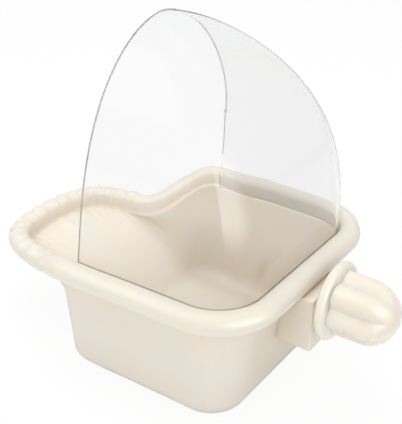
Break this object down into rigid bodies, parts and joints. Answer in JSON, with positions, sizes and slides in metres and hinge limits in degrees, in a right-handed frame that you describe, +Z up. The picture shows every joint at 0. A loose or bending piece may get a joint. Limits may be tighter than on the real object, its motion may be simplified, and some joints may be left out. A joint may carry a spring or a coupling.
{
  "type": "cage bird bath",
  "caption": "Clip-on bird bath: moulded tub with a rolled rim and a dipped landing tongue, a clear arched hood, and a lobed clamp nut with a ring for cage bars.",
  "frame": {"origin": "centre of the tub's flat base, on the mirror plane", "axes": "+Z up, +X from the landing tongue towards the cage wall and the clamp, Y across the tub"},
  "size_m": [0.1963, 0.1234, 0.1545],
  "materials": {
    "cream_plastic": "satin moulded cream plastic",
    "clear_plastic": "clear polished plastic",
    "cream_plastic_clamp": "satin moulded cream plastic",
    "cream_plastic_nut": "satin moulded cream plastic"
  },
  "bodies": {
    "tub": {"tub": "cream_plastic"},
    "hood": {"hood": "clear_plastic"},
    "ring": {"ring": "cream_plastic_clamp"},
    "knob": {"knob": "cream_plastic_nut"}
  },
  "joints": [
    {"name": "hood_lift", "type": "slide", "parent": "tub", "child": "hood", "axis": [0, 0, 1], "range_m": [0, 0.03]},
    {"name": "ring_slide", "type": "slide", "parent": "tub", "child": "ring", "axis": [1, 0, 0], "range_m": [-0.00195, 0.022]},
    {"name": "knob_turn", "type": "hinge", "parent": "ring", "child": "knob", "pos_m": [0.0684, 0, 0.0491], "axis": [1, 0, 0], "range_deg": [-175, 1980]}
  ],
  "couplings": [
    {"joint": "ring_slide", "follows": "knob_turn", "m_per_rad": 0.00063662}
  ]
}
